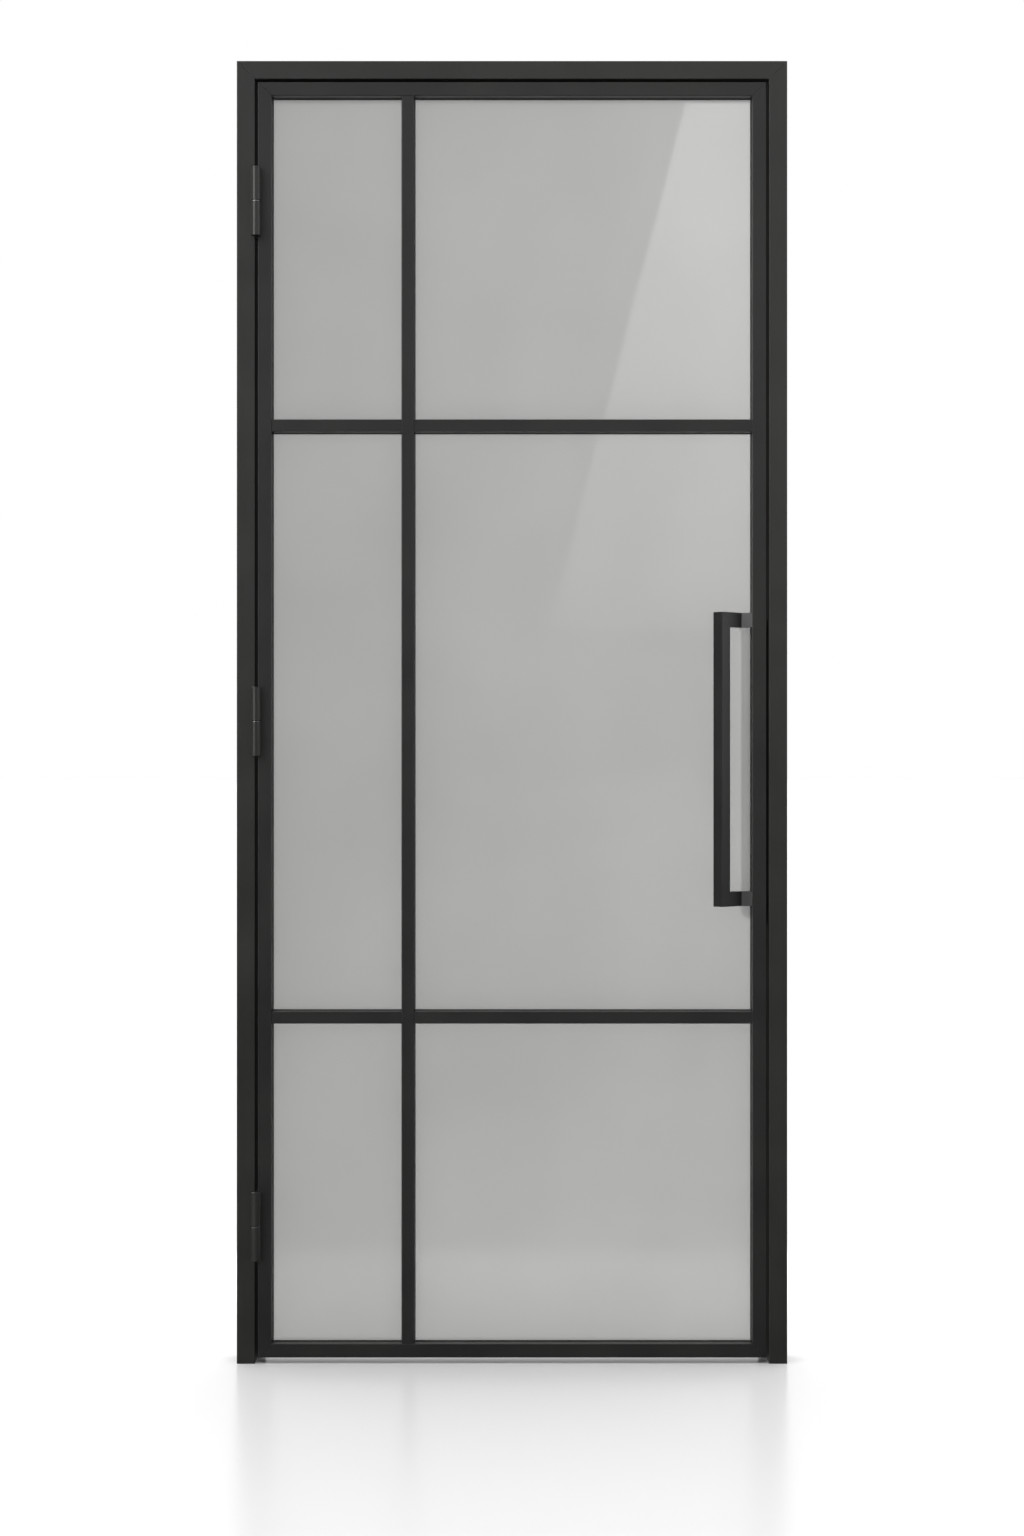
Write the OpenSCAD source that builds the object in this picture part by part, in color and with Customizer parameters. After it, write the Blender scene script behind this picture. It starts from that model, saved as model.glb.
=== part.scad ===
// Single glazed door in its frame: a hinged leaf of hollow profiles with six panes, three lift-off
// barrel hinges and an offset pull handle. The front looks along -Y and +Z is up. The origin lies
// on the floor, in the middle of the width and of the whole depth.

/* [Frame] */
// Width over the frame
frame_w = 900; // [750:5:1200]
// Height over the frame, from the floor
frame_h = 2130; // [1775:5:2600]
// Width of the frame's face
frame_face = 29.5; // [24:0.5:50]
// Wall of the frame's hollow profile
frame_wall = 2; // [1.6:0.1:2.6]
// How far the stop stands into the doorway
stop_reach = 12; // [11:1:18]
// Thickness of the stop, front to back
stop_t = 15; // [12:1:20]
// Diameter of the holes that fix the frame to the wall
fixing_d = 8; // [6:0.5:9]
// Distance of the outer fixing holes from the floor and from the frame's top
fixing_end = 300; // [200:10:450]
// Spacing of the inner pair of fixing holes
fixing_inner = 500; // [300:10:700]

/* [Leaf] */
// Gap between the leaf and the frame
leaf_gap = 5; // [5:0.5:8]
// Gap between the leaf and the floor
floor_gap = 10; // [6:1:15]
// Width of the faces of the stiles and rails
leaf_face = 22.5; // [21:0.5:60]
// Depth of the leaf
leaf_depth = 52; // [44:1:70]
// Wall of the leaf's hollow profiles
leaf_wall = 2; // [1.6:0.1:2.4]
// Depth of the flange in front of the glass
flange_depth = 20; // [18:1:24]
// Height of the rebate that holds the glass
rebate = 8; // [7:0.5:9]
// Radius of the arrises of all profiles
arris = 1; // [0.5:0.1:1.4]
// Width of the hairline joint in the mitred corners
mitre_joint = 0.3; // [0.1:0.1:0.5]

/* [Bars] */
// Width of the glazing bars' faces
bar_face = 20; // [19:1:40]
// Middle of the upright bar, from the middle of the door
bar_x = -170; // [-200:5:150]
// Height of the middle of the lower crossbar
lower_bar_z = 566; // [474:1:700]
// Height of the middle of the upper crossbar
upper_bar_z = 1534; // [1300:1:1600]

/* [Glazing] */
// Thickness of the glass
glass_t = 6; // [5:1:8]
// Room round each pane in its rebate
glass_edge_gap = 3; // [2:0.5:4]
// Thickness of the gaskets on both sides of the glass
gasket_t = 3; // [2.5:0.5:4]
// How far the gaskets show past the flange
gasket_lip = 1.5; // [0.5:0.5:2]
// Wall of the hollow beads
bead_wall = 1.4; // [1:0.1:1.8]
// Joint between the beads at the corners of a pane
bead_joint = 0.2; // [0.1:0.1:0.5]
// Length of a setting block under the glass
block_length = 60; // [40:5:80]

/* [Seal] */
// Thickness of the rubber seal on the stop
seal_t = 4.7; // [4:0.1:6]
// Width of the seal
seal_w = 5; // [4:0.5:6]
// Room between the seal and the closed leaf
seal_gap = 0.3; // [0.2:0.1:0.5]

/* [Hinges] */
// Diameter of the hinge barrels
barrel_d = 16; // [14:0.5:20]
// Height of one knuckle
knuckle_h = 56; // [46:1:70]
// Diameter of the hinge pin
pin_d = 8; // [6:0.5:9]
// Radial clearance between the pin and its bores
pin_clearance = 0.05; // [0.02:0.01:0.1]
// Thickness of the washer between two knuckles
washer_t = 1; // [0.8:0.1:1.5]
// How far the flaps reach back between leaf and frame
flap_reach = 28; // [26:1:36]
// Height of the middle of the lowest hinge
hinge_low_z = 226; // [150:1:300]
// Height of the middle of the middle hinge
hinge_mid_z = 1050; // [900:1:1200]
// Distance of the middle of the highest hinge below the frame's top
hinge_top_drop = 231; // [180:1:300]

/* [Handle] */
// Side of the square grip bar, which stands turned by 45 degrees
grip_side = 20; // [16:1:25]
// Length of the grip
grip_length = 480; // [300:10:900]
// Height of the middle of the grip
grip_z = 988; // [850:1:1100]
// How far the grip's front arris stands from the arms' bend, forwards and sideways
grip_reach = 34; // [32:1:50]
// Height of an arm
arm_h = 24; // [15:1:30]
// Thickness of an arm
arm_t = 14; // [12:1:16]
// Distance of the arms' bend from the stile
bend_x = 17; // [14:1:25]
// Depth of the arms' bend behind the leaf's face
bend_y = 8; // [6:1:9]

/* [Catch] */
// Length of the plates of the magnetic catch
catch_length = 66; // [55:1:80]
// Width of the plates of the magnetic catch
catch_w = 16; // [14:1:20]
// Distance of the middle of the catch from the latch edge of the leaf
catch_x = 130; // [100:5:200]

/* [Hidden] */
$fn = 64;

// Chain of depths, from the front face back
glass_y = flange_depth + gasket_t;
back_gasket_y = glass_y + glass_t;
bead_y = back_gasket_y + gasket_t;
bead_depth = leaf_depth - bead_y;
stop_y = leaf_depth + seal_gap + seal_t;
frame_depth = stop_y + stop_t;

// Fixing holes of a jamb: two pairs about the middle of its height
fixing_outer = frame_h - 2 * fixing_end;
fixing_heights = [for (half = [-fixing_outer, -fixing_inner, fixing_inner, fixing_outer]) (frame_h + half) / 2];

// Leaf and its members
doorway_w = frame_w - 2 * frame_face;
doorway_h = frame_h - frame_face;
leaf_w = doorway_w - 2 * leaf_gap;
leaf_top = doorway_h - leaf_gap;
leaf_h = leaf_top - floor_gap;
leaf_edge = leaf_w / 2;
stile_edge = leaf_edge - leaf_face;
tube_face = leaf_face - rebate;
bar_web = bar_face - 2 * rebate;

// Bays between the sight lines: left and right, then bottom, middle and top
bays = [
    [-stile_edge, bar_x - bar_face / 2],
    [bar_x + bar_face / 2, stile_edge]
];
rows = [
    [floor_gap + leaf_face, lower_bar_z - bar_face / 2],
    [lower_bar_z + bar_face / 2, upper_bar_z - bar_face / 2],
    [upper_bar_z + bar_face / 2, leaf_top - leaf_face]
];

// Hinges: the axis stands in front of the middle of the gap
face_clearance = 0.5;
hinge_x = -(leaf_edge + leaf_gap / 2);
hinge_y = -(barrel_d / 2 + face_clearance);
hinge_heights = [hinge_low_z, hinge_mid_z, frame_h - hinge_top_drop];
flap_t = leaf_gap / 2;
split = washer_t + 0.2;
washer_d = barrel_d - 2;
pin_engagement = knuckle_h - 10;
knuckle_chamfer = 0.8;

// Handle: plan points of the grip and the arms
half_diagonal = grip_side / sqrt(2);
bend_point = [stile_edge - bend_x, bend_y];
grip_point = bend_point - [grip_reach, grip_reach];
grip_centre = grip_point + [0, half_diagonal];
grip_right = grip_point + [half_diagonal, half_diagonal];
arm_step = arm_t / sqrt(2);
foot_front = 1;
foot_back = flange_depth - 1;
grip_arris = 1.2;

// Screws
screw_clearance = 0.15;
hinge_screw_d = 4;
hinge_screw_length = 12;
catch_screw_d = 3;
catch_screw_length = 8;
handle_screw_d = 5;
handle_screw_depth = 9;
access_d = 10;
plate_t = 1.5;

// Room between a cleat and the chamber that holds it
cleat_gap = 0.2;

// Everything is drawn with y = 0 on the front face, then moved so that the depth is centred
grip_proud = grip_reach - bend_y - grip_arris * (sqrt(2) - 1);
proud = max(grip_proud, barrel_d / 2 - hinge_y);
front_y = proud - (frame_depth + proud) / 2;

coating = [0.17, 0.17, 0.18];
rubber = [0.06, 0.06, 0.06];
steel = [0.62, 0.63, 0.65];
glass = [0.62, 0.64, 0.65, 0.55];

module in_place() {
    translate([0, front_y, 0])
        children();
}

// ---- Sections ----

// A rectangle with rounded arrises
module rounded_section(w, d, r) {
    translate([r, 0])
        square([w - 2 * r, d]);
    translate([0, r])
        square([w, d - 2 * r]);
    for (x = [r, w - r], y = [r, d - r])
        translate([x, y])
            circle(r);
}

// Jambs and head: a box with a stop at its back
module frame_section() {
    difference() {
        union() {
            rounded_section(frame_face, frame_depth, arris);
            translate([0, stop_y])
                rounded_section(frame_face + stop_reach, stop_t, arris);
        }
        translate([frame_wall, frame_wall])
            square([frame_face - 2 * frame_wall, frame_depth - 2 * frame_wall]);
        translate([frame_wall, stop_y + frame_wall])
            square([frame_face + stop_reach - 2 * frame_wall, stop_t - 2 * frame_wall]);
    }
}

// Stiles and rails: a tube with a flange in front of the glass
module leaf_section() {
    difference() {
        union() {
            rounded_section(leaf_face, flange_depth, arris);
            rounded_section(tube_face, leaf_depth, arris);
        }
        translate([leaf_wall, leaf_wall])
            square([leaf_face - 2 * leaf_wall, flange_depth - 2 * leaf_wall]);
        translate([leaf_wall, leaf_wall])
            square([tube_face - 2 * leaf_wall, leaf_depth - 2 * leaf_wall]);
    }
}

// Hollow head of a glazing bar, centred on x = 0
module bar_head_section() {
    difference() {
        translate([-bar_face / 2, 0])
            rounded_section(bar_face, flange_depth, arris);
        translate([-bar_face / 2 + leaf_wall, leaf_wall])
            square([bar_face - 2 * leaf_wall, flange_depth - 2 * leaf_wall]);
    }
}

// Soft seal: a foot with a hollow bulb towards the leaf, which lies along -Y
module seal_section() {
    bulb_r = seal_w / 2;
    foot_t = seal_t - bulb_r;
    intersection() {
        difference() {
            union() {
                translate([-bulb_r, -foot_t])
                    square([seal_w, foot_t]);
                translate([0, -foot_t])
                    circle(bulb_r);
            }
            translate([0, -foot_t])
                circle(bulb_r - 1);
        }
        translate([-seal_w, -seal_t - 1])
            square([2 * seal_w, seal_t + 1]);
    }
}

// Runs the section drawn in X and Y up Z. An end whose flag is set is cut at 45 degrees, half the
// joint short of the corner
module member(length, face, depth, mitre_start, mitre_end) {
    low = mitre_start ? 1 : 0;
    high = mitre_end ? 1 : 0;
    cut = mitre_joint / sqrt(2);
    intersection() {
        linear_extrude(length)
            children();
        translate([0, depth + 1, 0])
            rotate([90, 0, 0])
                linear_extrude(depth + 2)
                    polygon([
                        [-1, low * (cut - 1)],
                        [face, low * (cut + face)],
                        [face, length - high * (cut + face)],
                        [-1, length - high * (cut - 1)]
                    ]);
    }
}

// A countersunk screw with its flush head at z = 0, pointing along +Z
module countersunk_screw(d, length) {
    socket_depth = 0.3 * d;
    difference() {
        union() {
            cylinder(h = d / 2, d1 = 2 * d, d2 = d);
            cylinder(h = length, d = d);
        }
        translate([0, 0, -1])
            cylinder(h = 1 + socket_depth, d = 0.8 * d, $fn = 6);
    }
}

// The hole that takes it, from just above the head
module countersunk_hole(d, length) {
    room = d + 2 * screw_clearance;
    translate([0, 0, -1])
        cylinder(h = length + 1, d = room);
    cylinder(h = d / 2, d1 = room + d, d2 = room);
    translate([0, 0, -1])
        cylinder(h = 1, d = room + d);
}

// ---- Frame ----

module fixing_holes(side) {
    for (z = fixing_heights)
        translate([side * frame_w / 2, stop_y + stop_t / 2, z])
            rotate([0, -90 * side, 0])
                translate([0, 0, -1])
                    cylinder(h = frame_face + stop_reach + 2, d = fixing_d);
}

module jamb() {
    translate([-frame_w / 2, 0, 0])
        member(frame_h, frame_face + stop_reach, frame_depth, false, true)
            frame_section();
}

module frame_jamb_hinge_side() {
    color(coating)
        in_place()
            difference() {
                jamb();
                fixing_holes(-1);
                frame_screw_places()
                    countersunk_hole(hinge_screw_d, hinge_screw_length + 1);
            }
}

module frame_jamb_latch_side() {
    color(coating)
        in_place()
            difference() {
                mirror([1, 0, 0])
                    jamb();
                fixing_holes(1);
            }
}

module frame_head() {
    color(coating)
        in_place()
            difference() {
                translate([-frame_w / 2, 0, frame_h])
                    rotate([0, 90, 0])
                        member(frame_w, frame_face + stop_reach, frame_depth, true, true)
                            frame_section();
                strike_screw_places()
                    countersunk_hole(catch_screw_d, catch_screw_length + 1);
            }
}

// L-shaped cleat in the upper left corner of a hollow frame, its outer corner at the origin
module cleat(arm, band, depth) {
    translate([0, 0, -band])
        cube([arm, depth, band]);
    translate([0, 0, -arm])
        cube([band, depth, arm]);
}

module frame_corner_cleats() {
    arm = 70;
    inset = frame_wall + cleat_gap;
    color(steel)
        in_place()
            for (side = [0, 1])
                mirror([side, 0, 0])
                    translate([inset - frame_w / 2, inset, frame_h - inset])
                        cleat(arm, frame_face - 2 * inset, stop_y - 2 * inset);
}

seal_mid = (leaf_gap + stop_reach) / 2;

module seal_jamb() {
    translate([-doorway_w / 2 + seal_mid, stop_y, 0])
        linear_extrude(doorway_h - seal_mid - seal_w / 2)
            seal_section();
}

module seal_hinge_side() {
    color(rubber)
        in_place()
            seal_jamb();
}

module seal_latch_side() {
    color(rubber)
        in_place()
            mirror([1, 0, 0])
                seal_jamb();
}

module seal_head() {
    reach = doorway_w / 2 - seal_mid + seal_w / 2;
    color(rubber)
        in_place()
            translate([-reach, stop_y, doorway_h - seal_mid])
                rotate([0, 90, 0])
                    linear_extrude(2 * reach)
                        seal_section();
}

// ---- Hinges ----

// Places of the two screws of each frame flap, pointing into the jamb
module frame_screw_places() {
    for (z = hinge_heights, step = [0.25, 0.75])
        translate([hinge_x, flap_reach / 2, z - split / 2 - step * knuckle_h])
            rotate([0, -90, 0])
                children();
}

// Places of the two screws of each leaf flap, pointing into the stile
module leaf_screw_places() {
    for (z = hinge_heights, step = [0.25, 0.75])
        translate([hinge_x, flap_reach / 2, z + split / 2 + step * knuckle_h])
            rotate([0, 90, 0])
                children();
}

// A closed barrel with its open end at z = 0, standing on +Z
module knuckle_barrel() {
    r = barrel_d / 2;
    c = knuckle_chamfer;
    difference() {
        rotate_extrude()
            polygon([[0, 0], [r - c, 0], [r, c], [r, knuckle_h - c], [r - c, knuckle_h], [0, knuckle_h]]);
        translate([0, 0, -1])
            cylinder(h = pin_engagement + 2, r = pin_d / 2 + pin_clearance);
    }
}

// Its flap, which lies in the gap on the side of side * X
module knuckle_flap(side) {
    bore_r = pin_d / 2 + pin_clearance;
    translate([side > 0 ? 0 : -flap_t, bore_r + 1, 0])
        cube([flap_t, flap_reach - hinge_y - bore_r - 1, knuckle_h]);
}

module frame_knuckle(z) {
    color(coating)
        in_place()
            difference() {
                translate([hinge_x, hinge_y, z - split / 2])
                    mirror([0, 0, 1])
                        union() {
                            knuckle_barrel();
                            knuckle_flap(-1);
                        }
                frame_screw_places()
                    countersunk_hole(hinge_screw_d, hinge_screw_length);
            }
}

module leaf_knuckle(z) {
    color(coating)
        in_place()
            difference() {
                translate([hinge_x, hinge_y, z + split / 2])
                    union() {
                        knuckle_barrel();
                        knuckle_flap(1);
                    }
                leaf_screw_places()
                    countersunk_hole(hinge_screw_d, hinge_screw_length);
            }
}

module hinge_pin(z) {
    color(steel)
        in_place()
            translate([hinge_x, hinge_y, z - split / 2 - pin_engagement])
                cylinder(h = 2 * pin_engagement + split, d = pin_d);
}

module hinge_washer(z) {
    color(steel)
        in_place()
            translate([hinge_x, hinge_y, z - split / 2])
                difference() {
                    cylinder(h = washer_t, d = washer_d);
                    translate([0, 0, -1])
                        cylinder(h = washer_t + 2, r = pin_d / 2 + pin_clearance);
                }
}

module hinge_frame_screws() {
    color(coating)
        in_place()
            frame_screw_places()
                countersunk_screw(hinge_screw_d, hinge_screw_length);
}

module hinge_leaf_screws() {
    color(coating)
        in_place()
            leaf_screw_places()
                countersunk_screw(hinge_screw_d, hinge_screw_length);
}

// ---- Leaf ----

module stile() {
    translate([-leaf_edge, 0, floor_gap])
        member(leaf_h, leaf_face, leaf_depth, true, true)
            leaf_section();
}

module leaf_hinge_stile() {
    color(coating)
        in_place()
            difference() {
                stile();
                leaf_screw_places()
                    countersunk_hole(hinge_screw_d, hinge_screw_length + 1);
            }
}

module leaf_latch_stile() {
    shank = handle_screw_d + 2 * screw_clearance;
    color(coating)
        in_place()
            difference() {
                mirror([1, 0, 0])
                    stile();
                handle_screw_places() {
                    translate([0, 0, -1])
                        cylinder(h = leaf_face, d = shank);
                    translate([0, 0, leaf_wall + 1])
                        cylinder(h = leaf_face, d = access_d);
                }
            }
}

module leaf_top_rail() {
    color(coating)
        in_place()
            difference() {
                translate([-leaf_edge, 0, leaf_top])
                    rotate([0, 90, 0])
                        member(leaf_w, leaf_face, leaf_depth, true, true)
                            leaf_section();
                magnet_body(0.2);
                magnet_screw_places()
                    countersunk_hole(catch_screw_d, catch_screw_length + 1);
            }
}

module leaf_bottom_rail() {
    color(coating)
        in_place()
            translate([leaf_edge, 0, floor_gap])
                rotate([0, -90, 0])
                    member(leaf_w, leaf_face, leaf_depth, true, true)
                        leaf_section();
}

module leaf_corner_cleats() {
    arm = 50;
    inset = leaf_wall + cleat_gap;
    middle_z = floor_gap + leaf_h / 2;
    color(steel)
        in_place()
            translate([0, 0, middle_z])
                for (side = [0, 1], end = [0, 1])
                    mirror([side, 0, 0])
                        mirror([0, 0, end])
                            translate([inset - leaf_edge, flange_depth, leaf_h / 2 - inset])
                                cleat(arm, tube_face - 2 * inset, leaf_depth - flange_depth - inset);
}

// ---- Glazing bars ----

// A bar of the given sight length up Z, with its web in the rebates at both ends
module bar(length) {
    linear_extrude(length)
        bar_head_section();
    translate([-bar_web / 2, flange_depth, -rebate])
        cube([bar_web, leaf_depth - flange_depth, length + 2 * rebate]);
}

module upright_bar() {
    color(coating)
        in_place()
            translate([bar_x, 0, floor_gap + leaf_face])
                bar(leaf_h - 2 * leaf_face);
}

module crossbar(bay, z) {
    color(coating)
        in_place()
            translate([bays[bay][0], 0, z])
                rotate([0, 90, 0])
                    bar(bays[bay][1] - bays[bay][0]);
}

// ---- Glazing ----

// A plate over one bay, grown past its sight lines by grow, from y, t thick
module bay_plate(bay, row, grow, y, t) {
    translate([bays[bay][0] - grow, y, rows[row][0] - grow])
        cube([
            bays[bay][1] - bays[bay][0] + 2 * grow,
            t,
            rows[row][1] - rows[row][0] + 2 * grow
        ]);
}

module pane(bay, row) {
    color(glass)
        in_place()
            bay_plate(bay, row, rebate - glass_edge_gap, glass_y, glass_t);
}

// One rubber ring round each pane, at the depth y
module gasket_rings(y) {
    color(rubber)
        in_place()
            for (bay = [0, 1], row = [0, 1, 2])
                difference() {
                    bay_plate(bay, row, rebate - glass_edge_gap, y, gasket_t);
                    bay_plate(bay, row, -gasket_lip, y - 1, gasket_t + 2);
                }
}

module gaskets_front() {
    gasket_rings(flange_depth);
}

module gaskets_back() {
    gasket_rings(back_gasket_y);
}

// Hollow bead of the given length up Z, its section in the corner of x = 0 and y = 0
module bead(length) {
    linear_extrude(length)
        difference() {
            rounded_section(rebate, bead_depth, arris);
            translate([bead_wall, bead_wall])
                square([rebate - 2 * bead_wall, bead_depth - 2 * bead_wall]);
        }
}

// Four beads: the level ones run through, the upright ones stand between them
module beads(bay, row) {
    x0 = bays[bay][0];
    x1 = bays[bay][1];
    z0 = rows[row][0];
    z1 = rows[row][1];
    color(coating)
        in_place()
            translate([0, bead_y, 0]) {
                for (x = [x0 - rebate, x1])
                    translate([x, 0, z0 + bead_joint])
                        bead(z1 - z0 - 2 * bead_joint);
                for (z = [z0, z1 + rebate])
                    translate([x0 - rebate, 0, z])
                        rotate([0, 90, 0])
                            bead(x1 - x0 + 2 * rebate);
            }
}

// Two blocks carry each pane on the floor of its rebate
module setting_blocks() {
    color(rubber)
        in_place()
            for (bay = [0, 1], row = [0, 1, 2], place = [0.25, 0.75])
                translate([
                    bays[bay][0] + place * (bays[bay][1] - bays[bay][0]) - block_length / 2,
                    glass_y,
                    rows[row][0] - rebate
                ])
                    cube([block_length, glass_t, glass_edge_gap]);
}

// ---- Handle ----

// Places of the arms' screws: z = 0 on the stile's inner face, pointing out through the stile
module handle_screw_places() {
    for (z = [arm_h / 2, grip_length - arm_h / 2])
        translate([stile_edge, (foot_front + foot_back) / 2, grip_z - grip_length / 2 + z])
            rotate([0, 90, 0])
                children();
}

module handle_grip() {
    color(coating)
        in_place()
            translate([grip_centre.x, grip_centre.y, grip_z - grip_length / 2])
                rotate([0, 0, 45])
                    linear_extrude(grip_length)
                        translate([-grip_side / 2, -grip_side / 2])
                            rounded_section(grip_side, grip_side, grip_arris);
}

// Plan of an arm: from the grip's face back to the bend, then to its foot on the stile
module arm_plan() {
    back_line = grip_right + [-arm_step, arm_step];
    difference() {
        polygon([
            grip_right - [grip_arris, grip_arris],
            bend_point,
            [stile_edge, foot_front],
            [stile_edge, foot_back],
            [back_line.x + foot_back - back_line.y, foot_back],
            back_line - [grip_arris, grip_arris]
        ]);
        translate(grip_centre)
            rotate([0, 0, 45])
                translate([-grip_side / 2, -grip_side / 2])
                    rounded_section(grip_side, grip_side, grip_arris);
    }
}

module handle_arm(z) {
    color(coating)
        in_place()
            difference() {
                translate([0, 0, z])
                    linear_extrude(arm_h)
                        arm_plan();
                handle_screw_places()
                    translate([0, 0, -handle_screw_depth])
                        cylinder(h = handle_screw_depth + 1, d = handle_screw_d + 2 * screw_clearance);
            }
}

module handle_arm_lower() {
    handle_arm(grip_z - grip_length / 2);
}

module handle_arm_upper() {
    handle_arm(grip_z + grip_length / 2 - arm_h);
}

// Pan-head screws that hold the arms, with their heads inside the stile
module handle_screws() {
    head_h = 3;
    color(steel)
        in_place()
            handle_screw_places()
                difference() {
                    union() {
                        translate([0, 0, 0.5 - handle_screw_depth])
                            cylinder(h = handle_screw_depth + leaf_wall, d = handle_screw_d);
                        translate([0, 0, leaf_wall])
                            cylinder(h = head_h, d = 1.7 * handle_screw_d);
                    }
                    translate([0, 0, leaf_wall + head_h - 1.5])
                        cylinder(h = 2, d = 0.6 * handle_screw_d, $fn = 6);
                }
}

// ---- Magnetic catch ----

catch_mid = leaf_edge - catch_x;
magnet_length = catch_length - 20;
magnet_w = catch_w - 4;

module catch_screw_spots(z, down) {
    for (side = [-1, 1])
        translate([catch_mid + side * (catch_length / 2 - 5), leaf_depth / 2, z])
            rotate([down ? 180 : 0, 0, 0])
                children();
}

module magnet_screw_places() {
    catch_screw_spots(leaf_top + plate_t, true)
        children();
}

module strike_screw_places() {
    catch_screw_spots(doorway_h - plate_t, false)
        children();
}

// The magnet's case in the rail's chamber, with room round it
module magnet_body(room) {
    depth = tube_face - 2 * leaf_wall;
    translate([catch_mid - magnet_length / 2 - room, leaf_depth / 2 - magnet_w / 2 - room, leaf_top - depth])
        cube([magnet_length + 2 * room, magnet_w + 2 * room, depth + (room > 0 ? 1 : 0)]);
}

module catch_plate(z) {
    translate([catch_mid - catch_length / 2, leaf_depth / 2 - catch_w / 2, z])
        cube([catch_length, catch_w, plate_t]);
}

module catch_magnet() {
    color(steel)
        in_place()
            difference() {
                union() {
                    catch_plate(leaf_top);
                    magnet_body(0);
                }
                magnet_screw_places()
                    countersunk_hole(catch_screw_d, catch_screw_length);
            }
}

module catch_strike() {
    color(steel)
        in_place()
            difference() {
                catch_plate(doorway_h - plate_t);
                strike_screw_places()
                    countersunk_hole(catch_screw_d, catch_screw_length);
            }
}

module catch_magnet_screws() {
    color(steel)
        in_place()
            magnet_screw_places()
                countersunk_screw(catch_screw_d, catch_screw_length);
}

module catch_strike_screws() {
    color(steel)
        in_place()
            strike_screw_places()
                countersunk_screw(catch_screw_d, catch_screw_length);
}

frame_head();
frame_jamb_hinge_side();
frame_jamb_latch_side();
frame_corner_cleats();
seal_head();
seal_hinge_side();
seal_latch_side();
frame_knuckle(hinge_heights[0]);  // hinge_bottom_frame_knuckle
leaf_knuckle(hinge_heights[0]);  // hinge_bottom_leaf_knuckle
hinge_pin(hinge_heights[0]);  // hinge_bottom_pin
hinge_washer(hinge_heights[0]);  // hinge_bottom_washer
frame_knuckle(hinge_heights[1]);  // hinge_middle_frame_knuckle
leaf_knuckle(hinge_heights[1]);  // hinge_middle_leaf_knuckle
hinge_pin(hinge_heights[1]);  // hinge_middle_pin
hinge_washer(hinge_heights[1]);  // hinge_middle_washer
frame_knuckle(hinge_heights[2]);  // hinge_top_frame_knuckle
leaf_knuckle(hinge_heights[2]);  // hinge_top_leaf_knuckle
hinge_pin(hinge_heights[2]);  // hinge_top_pin
hinge_washer(hinge_heights[2]);  // hinge_top_washer
hinge_frame_screws();
hinge_leaf_screws();
leaf_top_rail();
leaf_bottom_rail();
leaf_hinge_stile();
leaf_latch_stile();
leaf_corner_cleats();
upright_bar();
crossbar(0, upper_bar_z);  // crossbar_upper_left
crossbar(1, upper_bar_z);  // crossbar_upper_right
crossbar(0, lower_bar_z);  // crossbar_lower_left
crossbar(1, lower_bar_z);  // crossbar_lower_right
pane(0, 0);  // pane_bottom_left
pane(1, 0);  // pane_bottom_right
pane(0, 1);  // pane_middle_left
pane(1, 1);  // pane_middle_right
pane(0, 2);  // pane_top_left
pane(1, 2);  // pane_top_right
gaskets_front();
gaskets_back();
beads(0, 0);  // beads_bottom_left
beads(1, 0);  // beads_bottom_right
beads(0, 1);  // beads_middle_left
beads(1, 1);  // beads_middle_right
beads(0, 2);  // beads_top_left
beads(1, 2);  // beads_top_right
setting_blocks();
handle_grip();
handle_arm_upper();
handle_arm_lower();
handle_screws();
catch_magnet();
catch_strike();
catch_magnet_screws();
catch_strike_screws();
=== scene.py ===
import math

import bpy
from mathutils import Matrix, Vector


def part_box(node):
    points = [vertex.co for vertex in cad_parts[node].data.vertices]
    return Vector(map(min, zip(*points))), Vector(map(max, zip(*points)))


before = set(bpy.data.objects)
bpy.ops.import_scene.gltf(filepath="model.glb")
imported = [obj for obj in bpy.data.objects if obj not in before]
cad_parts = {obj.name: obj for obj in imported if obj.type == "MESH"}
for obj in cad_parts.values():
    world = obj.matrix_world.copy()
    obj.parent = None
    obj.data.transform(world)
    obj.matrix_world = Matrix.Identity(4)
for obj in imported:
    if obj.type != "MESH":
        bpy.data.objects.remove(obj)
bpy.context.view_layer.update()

# ---- Frame: head and two jambs -------------------------------------------------------------
# Hollow aluminium profiles with a stop for the leaf, sawn at 45 degrees at the top corners. Each
# length is powder-coated in satin black, then drawn up tight, which leaves a hairline at the mitre.


def srgb(code):
    """The linear colour of a hex value such as #1c1c1e."""
    shares = [int(code[i:i + 2], 16) / 255 for i in (1, 3, 5)]
    return (*[c / 12.92 if c <= 0.04045 else ((c + 0.055) / 1.055) ** 2.4 for c in shares], 1.0)


def add(tree, kind, settings, inputs):
    """Adds a node with its settings. Its inputs, by name or place, take values, nodes or sockets."""
    made = tree.nodes.new(kind)
    for name, value in settings.items():
        setattr(made, name, value)
    for name, value in inputs.items():
        if isinstance(value, bpy.types.Node):
            value = value.outputs[0]
        if isinstance(value, bpy.types.NodeSocket):
            tree.links.new(value, made.inputs[name])
        else:
            made.inputs[name].default_value = value
    return made


def blank_material(name):
    """A material with no shader yet, its node tree, and the Object coordinates for its patterns."""
    material = bpy.data.materials.new(name)
    material.use_nodes = True
    tree = material.node_tree
    tree.nodes.clear()
    place = add(tree, "ShaderNodeTexCoord", {}, {}).outputs["Object"]
    return material, tree, place


def dress(material, *nodes):
    """Gives CAD nodes a finished material in place of their plain one."""
    for name in nodes:
        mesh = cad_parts[name].data
        mesh.materials.clear()
        mesh.materials.append(material)


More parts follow.
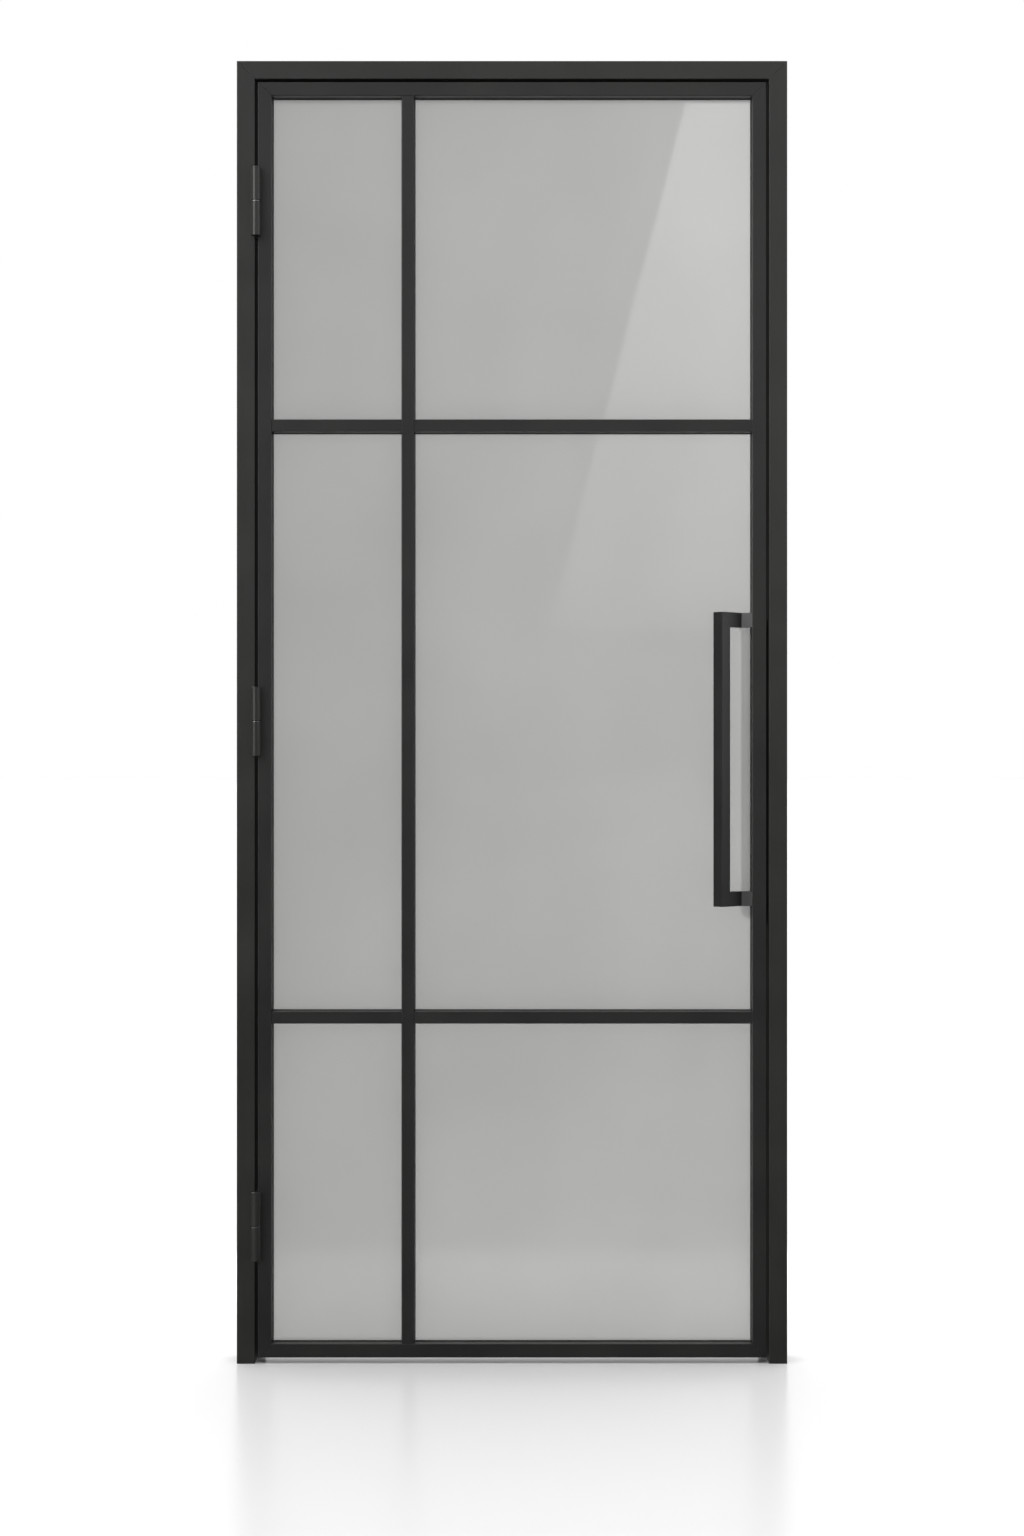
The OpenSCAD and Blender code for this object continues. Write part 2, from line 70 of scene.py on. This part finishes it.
def powder_coat(name, dark, light, roughness):
    """Polyester powder, baked on. The melted beads leave a soft skin like orange peel, 2 to 4 mm from
    crest to crest and some hundredths of a millimetre high, and sheen and shade drift over a hand's
    breadth with the thickness of the coat."""
    peel_size = 0.004
    drift_size = 0.09
    sheen_drift = 0.03
    material, tree, place = blank_material(name)
    drift = add(tree, "ShaderNodeTexNoise", {}, {
        "Vector": place, "Scale": 1 / drift_size, "Detail": 3.0})
    share = add(tree, "ShaderNodeMapRange", {}, {"Value": drift, "From Min": 0.3, "From Max": 0.7})
    shade = add(tree, "ShaderNodeMix", {"data_type": "RGBA"}, {
        0: share, 6: srgb(dark), 7: srgb(light)})
    sheen = add(tree, "ShaderNodeMapRange", {}, {
        "Value": drift, "From Min": 0.3, "From Max": 0.7,
        "To Min": roughness - sheen_drift, "To Max": roughness + sheen_drift})
    peel = add(tree, "ShaderNodeTexNoise", {}, {
        "Vector": place, "Scale": 1 / peel_size, "Detail": 4.0})
    skin = add(tree, "ShaderNodeBump", {}, {"Height": peel, "Strength": 0.3, "Distance": 0.0001})
    shader = add(tree, "ShaderNodeBsdfPrincipled", {}, {
        "Base Color": shade.outputs[2], "Roughness": sheen, "Normal": skin, "IOR": 1.5})
    add(tree, "ShaderNodeOutputMaterial", {}, {"Surface": shader})
    return material


# Satin black powder coat: the eye sees a charcoal face with broad, soft reflections.
profile_coat = powder_coat("satin_black_powder_coat", "#131312", "#171716", 0.4)
dress(profile_coat, "frame_head", "frame_jamb_hinge_side", "frame_jamb_latch_side")

# ---- Corner cleats -------------------------------------------------------------------------
# Die-cast aluminium angles, driven into the hollows of the mitred corners of frame and leaf and
# pinned there. They stay as cast, because nobody sees them.

# Cast aluminium: a dull light grey metal with a fine sandy skin, grains of about 3 mm.
grain_size = 0.003
cast_aluminium, tree, place = blank_material("cast_aluminium")
sand = add(tree, "ShaderNodeTexNoise", {}, {"Vector": place, "Scale": 1 / grain_size, "Detail": 4.0})
sheen = add(tree, "ShaderNodeMapRange", {}, {
    "Value": sand, "From Min": 0.3, "From Max": 0.7, "To Min": 0.45, "To Max": 0.6})
skin = add(tree, "ShaderNodeBump", {}, {"Height": sand, "Strength": 0.4, "Distance": 0.0001})
shader = add(tree, "ShaderNodeBsdfPrincipled", {}, {
    "Base Color": srgb("#b4b5b6"), "Metallic": 1.0, "Roughness": sheen, "Normal": skin})
add(tree, "ShaderNodeOutputMaterial", {}, {"Surface": shader})
dress(cast_aluminium, "frame_corner_cleats", "leaf_corner_cleats")

# ---- Seals on the stop ---------------------------------------------------------------------
# Extruded rubber strips in the groove of the frame's stop, cut to length for head and jambs. The
# closed leaf lies against them.

# EPDM rubber: nearly black and matt, with a faint grey bloom in patches of about 20 mm.
bloom_size = 0.02
rubber, tree, place = blank_material("epdm_rubber")
bloom = add(tree, "ShaderNodeTexNoise", {}, {
    "Vector": place, "Scale": 1 / bloom_size, "Detail": 5.0})
share = add(tree, "ShaderNodeMapRange", {}, {"Value": bloom, "From Min": 0.3, "From Max": 0.7})
shade = add(tree, "ShaderNodeMix", {"data_type": "RGBA"}, {
    0: share, 6: srgb("#0c0c0c"), 7: srgb("#151515")})
sheen = add(tree, "ShaderNodeMapRange", {}, {
    "Value": bloom, "From Min": 0.3, "From Max": 0.7, "To Min": 0.6, "To Max": 0.75})
shader = add(tree, "ShaderNodeBsdfPrincipled", {}, {
    "Base Color": shade.outputs[2], "Roughness": sheen, "IOR": 1.52})
add(tree, "ShaderNodeOutputMaterial", {}, {"Surface": shader})
dress(rubber, "seal_head", "seal_hinge_side", "seal_latch_side")

# ---- Hinges --------------------------------------------------------------------------------
# Three lift-off barrel hinges. Each has two turned steel knuckles with welded flaps, coated black,
# on a bright ground pin with a washer at the split, and its flaps are screwed into the gap.

# The knuckles have a slightly glossier coat than the profiles, so that the barrels catch the light.
hinge_coat = powder_coat("satin_black_coated_steel", "#171716", "#1b1b1a", 0.3)
hinge_places = ("bottom", "middle", "top")
for height in hinge_places:
    dress(hinge_coat, f"hinge_{height}_frame_knuckle", f"hinge_{height}_leaf_knuckle")

# Ground steel: a bright grey metal. The grinding lines go round it, drawn 0.8 mm apart so that they
# show, where the real ones are closer. A wave pattern of scale 1 repeats every pi / 10 metres.
wave_period = math.pi / 10
line_spacing = 0.0008
ground_steel, tree, place = blank_material("ground_steel")
grinding = add(tree, "ShaderNodeTexWave", {"bands_direction": "Z"}, {
    "Vector": place, "Scale": wave_period / line_spacing})
sheen = add(tree, "ShaderNodeMapRange", {}, {
    "Value": grinding.outputs["Fac"], "To Min": 0.22, "To Max": 0.34})
shader = add(tree, "ShaderNodeBsdfPrincipled", {}, {
    "Base Color": srgb("#8f9193"), "Metallic": 1.0, "Roughness": sheen})
add(tree, "ShaderNodeOutputMaterial", {}, {"Surface": shader})
for height in hinge_places:
    dress(ground_steel, f"hinge_{height}_pin", f"hinge_{height}_washer")

# Blackened steel: a dark grey metal, oiled, with an uneven sheen in grains of about 2 mm.
oil_size = 0.002
blackened_steel, tree, place = blank_material("blackened_steel")
oil = add(tree, "ShaderNodeTexNoise", {}, {"Vector": place, "Scale": 1 / oil_size, "Detail": 3.0})
sheen = add(tree, "ShaderNodeMapRange", {}, {
    "Value": oil, "From Min": 0.3, "From Max": 0.7, "To Min": 0.32, "To Max": 0.46})
shader = add(tree, "ShaderNodeBsdfPrincipled", {}, {
    "Base Color": srgb("#3a3a3b"), "Metallic": 1.0, "Roughness": sheen})
add(tree, "ShaderNodeOutputMaterial", {}, {"Surface": shader})
dress(blackened_steel, "hinge_frame_screws", "hinge_leaf_screws")

# ---- Leaf: stiles and rails ----------------------------------------------------------------
# The same kind of hollow profile as the frame, mitred at all four corners over cleats, with a lip
# in front that holds the glass. Its coat is the frame's coat made a shade darker: painted shade.

# Painted shade: the same black coat as the frame, a few levels darker, so the leaf reads darker.
shaded_leaf_coat = powder_coat("black_powder_coat_painted_darker", "#0e0e0e", "#121211", 0.4)
dress(shaded_leaf_coat, "leaf_top_rail", "leaf_bottom_rail", "leaf_hinge_stile", "leaf_latch_stile")

# ---- Glazing bars --------------------------------------------------------------------------
# One upright bar runs from rail to rail, and four lengths of crossbar butt against it and the
# stiles. They are coated with the leaf.

dress(shaded_leaf_coat, "upright_bar", "crossbar_upper_left", "crossbar_upper_right",
      "crossbar_lower_left", "crossbar_lower_right")

# ---- Panes ---------------------------------------------------------------------------------
# Six panes of 6 mm toughened float glass with a grey translucent film, glossy in front and behind.
# They stand on setting blocks in the rebate of the bars.

# Grey filmed glass: half of the light passes. The film's tone drifts over a third of a metre. Rollers
# in the toughening oven leave waves 0.28 m apart and 0.05 mm high, which bend a mirrored edge.
film_patch = 0.33
roller_spacing = 0.28
wave_height = 0.00005
filmed_glass, tree, place = blank_material("grey_filmed_glass")
film = add(tree, "ShaderNodeTexNoise", {}, {
    "Vector": place, "Scale": 1 / film_patch, "Detail": 2.0})
share = add(tree, "ShaderNodeMapRange", {}, {"Value": film, "From Min": 0.35, "From Max": 0.65})
tone = add(tree, "ShaderNodeMix", {"data_type": "RGBA"}, {
    0: share, 6: srgb("#888887"), 7: srgb("#8c8c8b")})
rollers = add(tree, "ShaderNodeTexWave", {"bands_direction": "Z", "wave_profile": "SIN"}, {
    "Vector": place, "Scale": wave_period / roller_spacing})
waves = add(tree, "ShaderNodeBump", {}, {
    "Height": rollers.outputs["Fac"], "Strength": 1.0, "Distance": wave_height})
shader = add(tree, "ShaderNodeBsdfPrincipled", {}, {
    "Base Color": tone.outputs[2], "Roughness": 0.02, "IOR": 1.52, "Transmission Weight": 0.52,
    "Normal": waves})
add(tree, "ShaderNodeOutputMaterial", {}, {"Surface": shader})
rows = ("bottom", "middle", "top")
sides = ("left", "right")
panes = [f"pane_{row}_{side}" for row in rows for side in sides]
dress(filmed_glass, *panes)

# ---- Gaskets, setting blocks and beads -----------------------------------------------------
# A rubber gasket lies in front of and behind each pane, and two rubber blocks carry it. Four
# coated aluminium beads behind each pane clip in and press it forward.

dress(rubber, "gaskets_front", "gaskets_back", "setting_blocks")
dress(shaded_leaf_coat, *[f"beads_{row}_{side}" for row in rows for side in sides])

# ---- Handle --------------------------------------------------------------------------------
# A pull of square steel bar, turned by 45 degrees, with two arms that run back to the stile. The
# three bars are welded and ground flush, coated black, and held by screws from inside the stile.

handle_coat = powder_coat("satin_black_coated_bar", "#101010", "#131313", 0.3)
handle_bars = ("handle_grip", "handle_arm_upper", "handle_arm_lower")
dress(handle_coat, *handle_bars)
dress(blackened_steel, "handle_screws")

# ---- Catch over the leaf -------------------------------------------------------------------
# A small magnet in a case on the top rail and a strike plate on the head, each with two screws.
# Both are blackened, so that nothing shines in the gap.

dress(blackened_steel, "catch_magnet", "catch_magnet_screws", "catch_strike", "catch_strike_screws")

# ---- Camera --------------------------------------------------------------------------------
# It looks level and square at the middle of the door, from 4.3 m in front of its face and from
# 0.974 m above the floor. The picture is 2.511 m high at the face.

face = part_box("frame_head")[0][1]
eye_height = 0.974
eye_distance = 4.3
picture_height = 2.511
camera_data = bpy.data.cameras.new("view")
camera_data.sensor_width = 36.0
# The sensor's long side stands upright, as the picture is taller than it is wide.
camera_data.lens = camera_data.sensor_width * eye_distance / picture_height
camera = bpy.data.objects.new("view", camera_data)
camera.location = (0.0, face - eye_distance, eye_height)
camera.rotation_euler = (math.pi / 2, 0.0, 0.0)
bpy.context.collection.objects.link(camera)
bpy.context.scene.camera = camera
bpy.context.scene.view_settings.view_transform = "Standard"

# ---- Floor ---------------------------------------------------------------------------------
# A wide white floor with a satin gloss, which mirrors the foot of the door. Glossy rays see it as a
# dim grey glow in place of its white paint: a painted reflection that darkens it wherever it is
# mirrored.

floor_size = 400.0
floor_white, tree, _ = blank_material("white_satin_floor")
path = add(tree, "ShaderNodeLightPath", {}, {})
mirrored = add(tree, "ShaderNodeMath", {"operation": "SUBTRACT", "use_clamp": True}, {
    0: path.outputs["Is Glossy Ray"], 1: path.outputs["Is Transmission Ray"]})
paint = add(tree, "ShaderNodeBsdfPrincipled", {}, {
    "Base Color": srgb("#f7f7f7"), "Roughness": 0.24, "IOR": 1.33})
# Painted reflection: in glossy rays the floor shows this dim grey glow instead of white.
dark_mirror_glow = add(tree, "ShaderNodeEmission", {}, {"Color": (0.08, 0.08, 0.08, 1.0)})
blend = add(tree, "ShaderNodeMixShader", {}, {0: mirrored, 1: paint, 2: dark_mirror_glow})
add(tree, "ShaderNodeOutputMaterial", {}, {"Surface": blend})
bpy.ops.mesh.primitive_plane_add(size=floor_size, location=(0, 0, 0))
floor = bpy.context.object
floor.name = "floor"
floor.data.materials.append(floor_white)

# ---- Surround ------------------------------------------------------------------------------
# White wherever the eye looks straight at it or through the glass. In reflections it is bright
# behind the door and to the right, lit from above in front, with a bright strip at the front left.

world = bpy.data.worlds.new("studio")
world.use_nodes = True
tree = world.node_tree
tree.nodes.clear()
path = add(tree, "ShaderNodeLightPath", {}, {})
towards = add(tree, "ShaderNodeSeparateXYZ", {}, {
    "Vector": add(tree, "ShaderNodeTexCoord", {}, {}).outputs["Generated"]})
# Each band has an axis of the view direction, where along it the change starts and ends, and the
# brightness before and after.
bands = {}
for name, axis, start, end, low, high in (
        ("behind", "Y", 0.5, 0.9, 0.0, 1.0),
        ("far_right", "X", 0.5, 0.9, 0.0, 1.2),
        ("front", "X", -0.6, 0.6, 0.4, 0.7),
        ("front_height", "Z", -0.02, 0.3, 0.1, 1.0),
        ("left_start", "X", -0.36, -0.55, 0.0, 4.4),
        ("left_end", "X", -0.82, -0.66, 0.0, 1.0),
        ("left_height", "Z", -0.3, 0.45, 0.3, 1.7)):
    bands[name] = add(tree, "ShaderNodeMapRange", {"interpolation_type": "SMOOTHSTEP"}, {
        "Value": towards.outputs[axis],
        "From Min": start, "From Max": end, "To Min": low, "To Max": high})
front = add(tree, "ShaderNodeMath", {"operation": "MULTIPLY"}, {
    0: bands["front"], 1: bands["front_height"]})
strip = add(tree, "ShaderNodeMath", {"operation": "MULTIPLY"}, {
    0: bands["left_start"], 1: bands["left_end"]})
strip = add(tree, "ShaderNodeMath", {"operation": "MULTIPLY"}, {0: strip, 1: bands["left_height"]})
mirror_light = front
for band in (strip, bands["behind"], bands["far_right"]):
    mirror_light = add(tree, "ShaderNodeMath", {"operation": "MAXIMUM"}, {0: mirror_light, 1: band})
diffuse_light = 0.38
indirect = add(tree, "ShaderNodeMix", {"data_type": "FLOAT"}, {
    0: path.outputs["Is Glossy Ray"], 2: diffuse_light, 3: mirror_light})
straight = add(tree, "ShaderNodeMath", {"operation": "MAXIMUM"}, {
    0: path.outputs["Is Camera Ray"], 1: path.outputs["Is Transmission Ray"]})
strength = add(tree, "ShaderNodeMix", {"data_type": "FLOAT"}, {0: straight, 2: indirect, 3: 1.0})
background = add(tree, "ShaderNodeBackground", {}, {
    "Color": (1.0, 1.0, 1.0, 1.0), "Strength": strength})
add(tree, "ShaderNodeOutputWorld", {}, {"Surface": background})
bpy.context.scene.world = world

# ---- Lights --------------------------------------------------------------------------------
# Lamps that show neither in reflections nor through the glass. Those for the door leave the floor
# alone, and one of them stands behind it. Two light only the floor, so that it stays white, and
# one lights only the panes, from close to the floor.

spares_floor = bpy.data.collections.new("lights_spare_the_floor")
spares_floor.objects.link(floor)
spares_floor.collection_objects[0].light_linking.link_state = "EXCLUDE"
floor_only = bpy.data.collections.new("lights_the_floor")
floor_only.objects.link(floor)
panes_only = bpy.data.collections.new("lights_the_panes")
for name in panes:
    panes_only.objects.link(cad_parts[name])
handle_shades = bpy.data.collections.new("casts_the_key_shadow")
for name in handle_bars:
    handle_shades.objects.link(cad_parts[name])


def lamp(name, data, centre, aim, receivers):
    """Puts a light in its place, aimed along a direction, for the receivers alone."""
    made = bpy.data.objects.new(name, data)
    made.location = centre
    made.rotation_euler = Vector(aim).to_track_quat("-Z", "Y").to_euler()
    made.visible_camera = False
    made.visible_glossy = False
    made.visible_transmission = False
    made.light_linking.receiver_collection = receivers
    bpy.context.collection.objects.link(made)
    return made


# Each sun has the way its light runs, its power, its width in radians and what it lights.
suns = (("key", (1.65, 1.0, -0.6), 6.4, 0.05, spares_floor),
        ("overhead", (0.0, 0.0, -1.0), 2.6, 1.9, floor_only))
for name, aim, power, spread, receivers in suns:
    data = bpy.data.lights.new(name, "SUN")
    data.energy = power
    data.angle = spread
    made = lamp(name, data, (0.0, 0.0, 5.0), aim, receivers)
    if name == "key":
        made.light_linking.blocker_collection = handle_shades

# Each softbox has its centre and the point it faces, its width and height in metres, its power in
# watts, whether it casts shadows, and what it lights.
softboxes = (("right_fill", (1.5, -1.6, 1.55), (0.2, 0.0, 1.5), 0.8, 0.8, 54.0, False, spares_floor),
             ("floor_bounce", (0.1, -0.3, 0.05), (0.1, 0.0, 0.12), 1.2, 0.1, 1.7, False, panes_only),
             ("upper_left", (-1.3, -4.0, 4.0), (-0.4, 0.0, 2.0), 1.4, 1.0, 30.0, True, spares_floor),
             ("rear_fill", (-1.2, 3.2, 2.4), (0.0, 0.0, 1.1), 1.6, 1.6, 160.0, True, spares_floor),
             ("back_light", (0.0, 0.9, 0.4), (0.0, 0.05, 0.0), 1.2, 0.4, 5.0, True, floor_only))
for name, centre, target, width, height, power, shadows, receivers in softboxes:
    data = bpy.data.lights.new(name, "AREA")
    data.shape = "RECTANGLE"
    data.size = width
    data.size_y = height
    data.energy = power
    data.use_shadow = shadows
    lamp(name, data, centre, Vector(target) - Vector(centre), receivers)

# ---- Tall card -----------------------------------------------------------------------------
# A bright card far behind the camera, with a slanting left edge. Only reflections show it: it
# gives the panes the bright field at the upper right. It is sized from where it shows in the glass.

card_distance = 7.0
glass_depth = 0.0232
foot_glow = 0.5
head_glow = 3.4
stretch = 1 + card_distance / (eye_distance + glass_depth)
# Its corners where they show in the glass, in metres from the middle and above the floor.
shown = ((0.06, 1.2), (0.46, 1.2), (0.46, 2.16), (0.31, 2.16))
corners = [(x * stretch, -card_distance, eye_height + (z - eye_height) * stretch) for x, z in shown]
foot_z = corners[0][2]
head_z = corners[2][2]
card_mesh = bpy.data.meshes.new("tall_card")
card_mesh.from_pydata(corners, [], [(0, 1, 2, 3)])
glow, tree, place = blank_material("card_glow")
path = add(tree, "ShaderNodeLightPath", {}, {})
point = add(tree, "ShaderNodeSeparateXYZ", {}, {"Vector": place})
fade = add(tree, "ShaderNodeMapRange", {}, {
    "Value": point.outputs["Z"],
    "From Min": foot_z, "From Max": head_z, "To Min": foot_glow, "To Max": head_glow})
light = add(tree, "ShaderNodeEmission", {}, {"Strength": fade})
clear = add(tree, "ShaderNodeBsdfTransparent", {}, {})
blend = add(tree, "ShaderNodeMixShader", {}, {
    0: path.outputs["Is Transmission Ray"], 1: light, 2: clear})
add(tree, "ShaderNodeOutputMaterial", {}, {"Surface": blend})
card_mesh.materials.append(glow)
card = bpy.data.objects.new("tall_card", card_mesh)
card.visible_camera = False
card.visible_diffuse = False
card.visible_transmission = False
card.visible_shadow = False
bpy.context.collection.objects.link(card)
